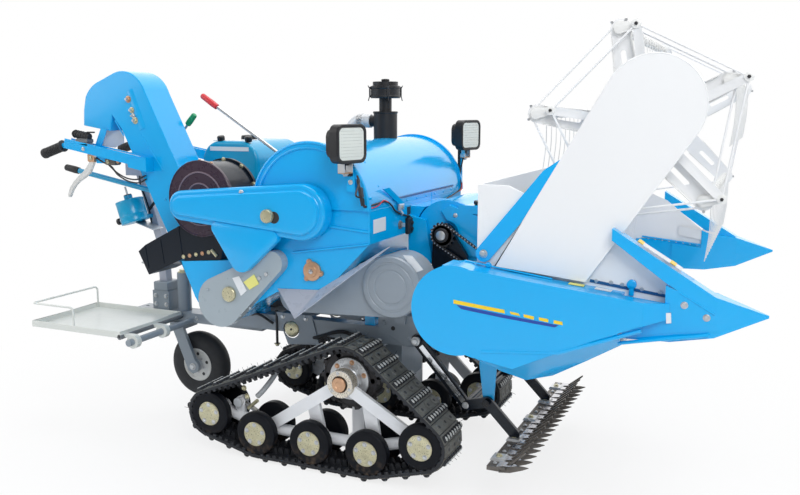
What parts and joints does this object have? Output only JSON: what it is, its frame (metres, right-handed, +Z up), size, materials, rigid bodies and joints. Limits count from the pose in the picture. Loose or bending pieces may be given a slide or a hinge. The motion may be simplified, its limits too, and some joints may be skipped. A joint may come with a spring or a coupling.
{
  "type": "walk-behind rice reaper",
  "caption": "Walk-behind rice reaper on rubber-shod tracks with a raised cutting header, tined reel, thresher drum, grain elevator and tail wheel.",
  "frame": {"origin": "middle of the whole machine on the ground", "axes": "+X forward to the header, +Y to the machine's left, +Z up"},
  "size_m": [2.7527, 1.232, 1.513],
  "materials": {
    "track_rubber": "matt moulded rubber",
    "roller_rubber": "matt rubber tyre",
    "sprocket_iron": "dark cast iron",
    "white_paint": "gloss white paint",
    "grey_paint": "satin grey paint",
    "engine_iron": "grey cast iron",
    "blue_paint": "gloss sky-blue paint",
    "maroon_paint": "gloss maroon paint",
    "black_paint": "gloss black paint",
    "black_plastic": "satin black plastic",
    "grip_rubber": "ribbed rubber grip",
    "rim_grey": "light grey paint",
    "tyre_rubber": "black tyre",
    "tray_paint": "off-white paint",
    "steel": "plain steel",
    "copper_alloy": "bare copper alloy",
    "lens_glass": "ribbed clear lens",
    "bright_metal": "plated steel",
    "zinc_plate": "yellow zinc plate",
    "yellow_film": "yellow stripe film",
    "red_plastic": "red plastic",
    "green_plastic": "green plastic",
    "cutter_iron": "dark oiled iron"
  },
  "bodies": {
    "chassis": {"track_right": "track_rubber", "rollers_right": "roller_rubber", "sprocket_right": "sprocket_iron", "track_frame_right": "white_paint", "track_left": "track_rubber", "rollers_left": "roller_rubber", "sprocket_left": "sprocket_iron", "track_frame_left": "white_paint", "transmission": "grey_paint", "main_frame": "grey_paint", "engine": "engine_iron", "thresher_body": "blue_paint", "thresher_hood": "blue_paint", "upper_belt_guard": "blue_paint", "lower_belt_guard": "grey_paint", "main_belt_guard": "grey_paint", "side_chute": "grey_paint", "blower_cover": "maroon_paint", "blower_housing": "black_paint", "grain_elevator": "blue_paint", "air_cleaner": "black_plastic", "lamps": "black_plastic", "handle_column": "grey_paint", "handlebar": "blue_paint", "hand_grips": "grip_rubber", "side_plates": "grey_paint", "tail_beam": "grey_paint", "lift_posts": "black_paint", "fuel_tank": "blue_paint", "shaft_bearing": "copper_alloy", "intake_hose": "black_plastic", "lamp_lenses": "lens_glass", "control_levers": "bright_metal", "lever_knobs": "black_plastic", "oil_can": "blue_paint"},
    "header": {"header_tub": "white_paint", "header_walls": "white_paint", "drive_cover": "blue_paint", "feeder_house": "blue_paint", "dividers": "blue_paint", "header_knife": "steel", "reel_arms": "blue_paint", "reel_plate": "white_paint", "feeder_guard": "blue_paint", "feeder_drive": "sprocket_iron"},
    "auger": {"auger": "blue_paint"},
    "reel": {"reel_spiders": "white_paint"},
    "eccentric": {"reel_eccentric": "white_paint"},
    "lift_arm": {"lift_arms": "black_paint", "lower_cutter": "cutter_iron"},
    "lift_strut": {"lift_struts": "blue_paint"},
    "tail_swivel": {"tail_fork": "grey_paint"},
    "tail_wheel": {"tail_rim": "rim_grey", "tail_tyre": "tyre_rubber"},
    "tray": {"tray": "tray_paint"},
    "bat_1": {"reel_bat_1": "white_paint"},
    "bat_2": {"reel_bat_2": "white_paint"},
    "bat_3": {"reel_bat_3": "white_paint"},
    "bat_4": {"reel_bat_4": "white_paint"},
    "bat_5": {"reel_bat_5": "white_paint"}
  },
  "joints": [
    {"name": "header_lift", "type": "hinge", "parent": "chassis", "child": "header", "pos_m": [0.315, 0.109, 0.838], "axis": [0, 1, 0], "range_deg": [-8, 10]},
    {"name": "lift_arm_swing", "type": "hinge", "parent": "chassis", "child": "lift_arm", "pos_m": [0.263, 0.024, 0.478], "axis": [0, 1, 0], "range_deg": [-6.1, 7.6]},
    {"name": "lift_strut_swing", "type": "hinge", "parent": "lift_arm", "child": "lift_strut", "pos_m": [0.521, 0.024, 0.289], "axis": [0, 1, 0], "range_deg": [-13.4, 10.8]},
    {"name": "auger_spin", "type": "hinge", "parent": "header", "child": "auger", "pos_m": [0.739, 0.024, 0.655], "axis": [0, 1, 0], "continuous": true},
    {"name": "reel_spin", "type": "hinge", "parent": "header", "child": "reel", "pos_m": [1.005, 0.024, 1.22], "axis": [0, 1, 0], "continuous": true},
    {"name": "eccentric_spin", "type": "hinge", "parent": "header", "child": "eccentric", "pos_m": [1.051, -0.472, 1.229], "axis": [0, 1, 0], "continuous": true},
    {"name": "tail_swivel_turn", "type": "hinge", "parent": "chassis", "child": "tail_swivel", "pos_m": [-0.868, -0.016, 0.5], "axis": [0, 0, 1], "continuous": true},
    {"name": "tail_wheel_spin", "type": "hinge", "parent": "tail_swivel", "child": "tail_wheel", "pos_m": [-0.793, -0.016, 0.218], "axis": [0, 1, 0], "continuous": true},
    {"name": "tray_fold", "type": "hinge", "parent": "chassis", "child": "tray", "pos_m": [-0.808, -0.226, 0.407], "axis": [0, 1, 0], "range_deg": [0, 35]},
    {"name": "bat_1_swing", "type": "hinge", "parent": "reel", "child": "bat_1", "pos_m": [1.24449, 0.024, 1.34467], "axis": [0, 1, 0], "continuous": true},
    {"name": "bat_2_swing", "type": "hinge", "parent": "reel", "child": "bat_2", "pos_m": [0.96044, 0.024, 1.4863], "axis": [0, 1, 0], "continuous": true},
    {"name": "bat_3_swing", "type": "hinge", "parent": "reel", "child": "bat_3", "pos_m": [0.73797, 0.024, 1.25991], "axis": [0, 1, 0], "continuous": true},
    {"name": "bat_4_swing", "type": "hinge", "parent": "reel", "child": "bat_4", "pos_m": [0.88453, 0.024, 0.97837], "axis": [0, 1, 0], "continuous": true},
    {"name": "bat_5_swing", "type": "hinge", "parent": "reel", "child": "bat_5", "pos_m": [1.19758, 0.024, 1.03075], "axis": [0, 1, 0], "continuous": true}
  ],
  "couplings": [
    {"joint": "lift_arm_swing", "follows": "header_lift", "ratio": 0.75},
    {"joint": "lift_strut_swing", "follows": "header_lift", "ratio": -1.32},
    {"joint": "eccentric_spin", "follows": "reel_spin", "ratio": 1},
    {"joint": "bat_1_swing", "follows": "reel_spin", "ratio": -1},
    {"joint": "bat_2_swing", "follows": "reel_spin", "ratio": -1},
    {"joint": "bat_3_swing", "follows": "reel_spin", "ratio": -1},
    {"joint": "bat_4_swing", "follows": "reel_spin", "ratio": -1},
    {"joint": "bat_5_swing", "follows": "reel_spin", "ratio": -1}
  ]
}
